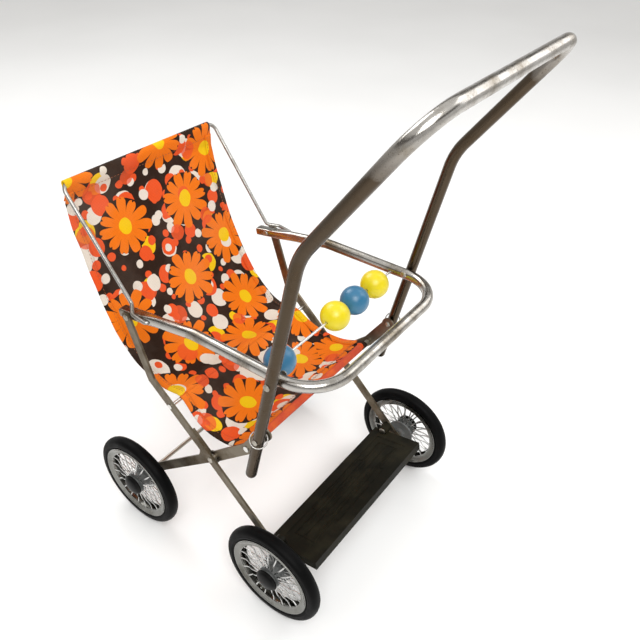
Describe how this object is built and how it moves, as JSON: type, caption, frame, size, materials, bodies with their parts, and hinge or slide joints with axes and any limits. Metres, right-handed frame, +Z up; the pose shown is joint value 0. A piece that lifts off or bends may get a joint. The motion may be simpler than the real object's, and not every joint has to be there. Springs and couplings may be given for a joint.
{
  "type": "doll stroller",
  "caption": "Folding doll stroller: tube handle and bumper on a scissor frame, printed sling seat, bead rod, plastic footrest and spoked wheels.",
  "frame": {"origin": "on the floor, under the centre of the stroller's bounding box", "axes": "+Y the way the stroller travels (the doll faces -Y, towards the handle), +X to the right of someone looking along +Y, +Z up"},
  "size_m": [0.2964, 0.4052, 0.5763],
  "materials": {
    "chromed_tube": "aged chrome plate, scuffed",
    "plated_strip": "dull plated steel",
    "bright_wire": "bright plated wire",
    "steel_pins": "plated steel",
    "dark_plastic": "dark moulded plastic, dusty",
    "cap_plastic": "black moulded plastic",
    "bead_yellow": "glossy lacquer",
    "bead_blue": "glossy lacquer",
    "printed_fabric": "printed cotton canvas",
    "tyre_rubber": "semi-matt rubber",
    "wheel_rim": "chromed rim",
    "wheel_spoke": "chromed spokes",
    "hub_grey": "grey moulded plastic"
  },
  "bodies": {
    "legs": {"leg_left": "plated_strip", "leg_right": "plated_strip", "seat_cross_rod": "bright_wire", "front_axle": "steel_pins", "footrest": "dark_plastic", "footrest_rivets": "steel_pins", "axle_spacers_front": "steel_pins", "hub_caps_front": "cap_plastic", "seat_base": "printed_fabric"},
    "rear_links": {"rear_link_left": "plated_strip", "rear_link_right": "plated_strip", "rear_axle": "steel_pins", "seat_front_rod": "bright_wire", "scissor_rivets": "steel_pins", "scissor_spacers": "steel_pins", "axle_spacers_rear": "steel_pins", "hub_caps_rear": "cap_plastic", "seat_front": "printed_fabric"},
    "armrest": {"bumper_bar": "chromed_tube", "backrest_wire": "bright_wire", "bead_rod": "bright_wire", "arm_pivot_rivets": "steel_pins", "arm_washers": "steel_pins", "bumper_rivets": "steel_pins", "seat_back": "printed_fabric"},
    "handle": {"handle_tube": "chromed_tube", "handle_end_caps": "chromed_tube", "handle_rivets": "steel_pins", "handle_pivot_rivets": "steel_pins", "handle_spacers": "steel_pins"},
    "ring_left": {"lock_ring_left": "bright_wire"},
    "ring_right": {"lock_ring_right": "bright_wire"},
    "bead_1": {"bead_yellow_outer": "bead_yellow"},
    "bead_2": {"bead_blue_inner": "bead_blue"},
    "bead_3": {"bead_yellow_middle": "bead_yellow"},
    "bead_4": {"bead_blue_outer": "bead_blue"},
    "wheel_front_left": {"tyre_front_left": "tyre_rubber", "rim_front_left": "wheel_rim", "spokes_front_left": "wheel_spoke", "hub_front_left": "hub_grey"},
    "wheel_front_right": {"tyre_front_right": "tyre_rubber", "rim_front_right": "wheel_rim", "spokes_front_right": "wheel_spoke", "hub_front_right": "hub_grey"},
    "wheel_rear_left": {"tyre_rear_left": "tyre_rubber", "rim_rear_left": "wheel_rim", "spokes_rear_left": "wheel_spoke", "hub_rear_left": "hub_grey"},
    "wheel_rear_right": {"tyre_rear_right": "tyre_rubber", "rim_rear_right": "wheel_rim", "spokes_rear_right": "wheel_spoke", "hub_rear_right": "hub_grey"}
  },
  "joints": [
    {"name": "fold", "type": "hinge", "parent": "legs", "child": "rear_links", "pos_m": [0, 0.0124, 0.1522], "axis": [1, 0, 0], "range_deg": [0, 60]},
    {"name": "armrest_pivot", "type": "hinge", "parent": "legs", "child": "armrest", "pos_m": [0, 0.113, 0.2925], "axis": [1, 0, 0], "range_deg": [0, 35.17]},
    {"name": "handle_pivot", "type": "hinge", "parent": "rear_links", "child": "handle", "pos_m": [0, -0.0605, 0.233], "axis": [1, 0, 0], "range_deg": [-102.91, 0]},
    {"name": "ring_left_swing", "type": "hinge", "parent": "handle", "child": "ring_left", "pos_m": [-0.1173, -0.0605, 0.233], "axis": [1, 0, 0], "range_deg": [-3, 3]},
    {"name": "ring_right_swing", "type": "hinge", "parent": "handle", "child": "ring_right", "pos_m": [0.1173, -0.0605, 0.233], "axis": [1, 0, 0], "range_deg": [-3, 3]},
    {"name": "bead_1_slide", "type": "slide", "parent": "armrest", "child": "bead_1", "axis": [1, 0, 0], "range_m": [-0.0032, 0.0135]},
    {"name": "bead_2_slide", "type": "slide", "parent": "armrest", "child": "bead_2", "axis": [1, 0, 0], "range_m": [-0.0015, 0.0032]},
    {"name": "bead_3_slide", "type": "slide", "parent": "armrest", "child": "bead_3", "axis": [1, 0, 0], "range_m": [-0.027, 0.0015]},
    {"name": "bead_4_slide", "type": "slide", "parent": "armrest", "child": "bead_4", "axis": [1, 0, 0], "range_m": [-0.0002, 0.027]},
    {"name": "wheel_front_left_spin", "type": "hinge", "parent": "legs", "child": "wheel_front_left", "pos_m": [-0.132, -0.085, 0.06], "axis": [1, 0, 0], "continuous": true},
    {"name": "wheel_front_right_spin", "type": "hinge", "parent": "legs", "child": "wheel_front_right", "pos_m": [0.132, -0.085, 0.06], "axis": [1, 0, 0], "continuous": true},
    {"name": "wheel_rear_left_spin", "type": "hinge", "parent": "rear_links", "child": "wheel_rear_left", "pos_m": [-0.132, 0.12, 0.06], "axis": [1, 0, 0], "continuous": true},
    {"name": "wheel_rear_right_spin", "type": "hinge", "parent": "rear_links", "child": "wheel_rear_right", "pos_m": [0.132, 0.12, 0.06], "axis": [1, 0, 0], "continuous": true}
  ],
  "couplings": [
    {"joint": "armrest_pivot", "follows": "fold", "ratio": 0.58599},
    {"joint": "handle_pivot", "follows": "fold", "ratio": -1.715}
  ]
}
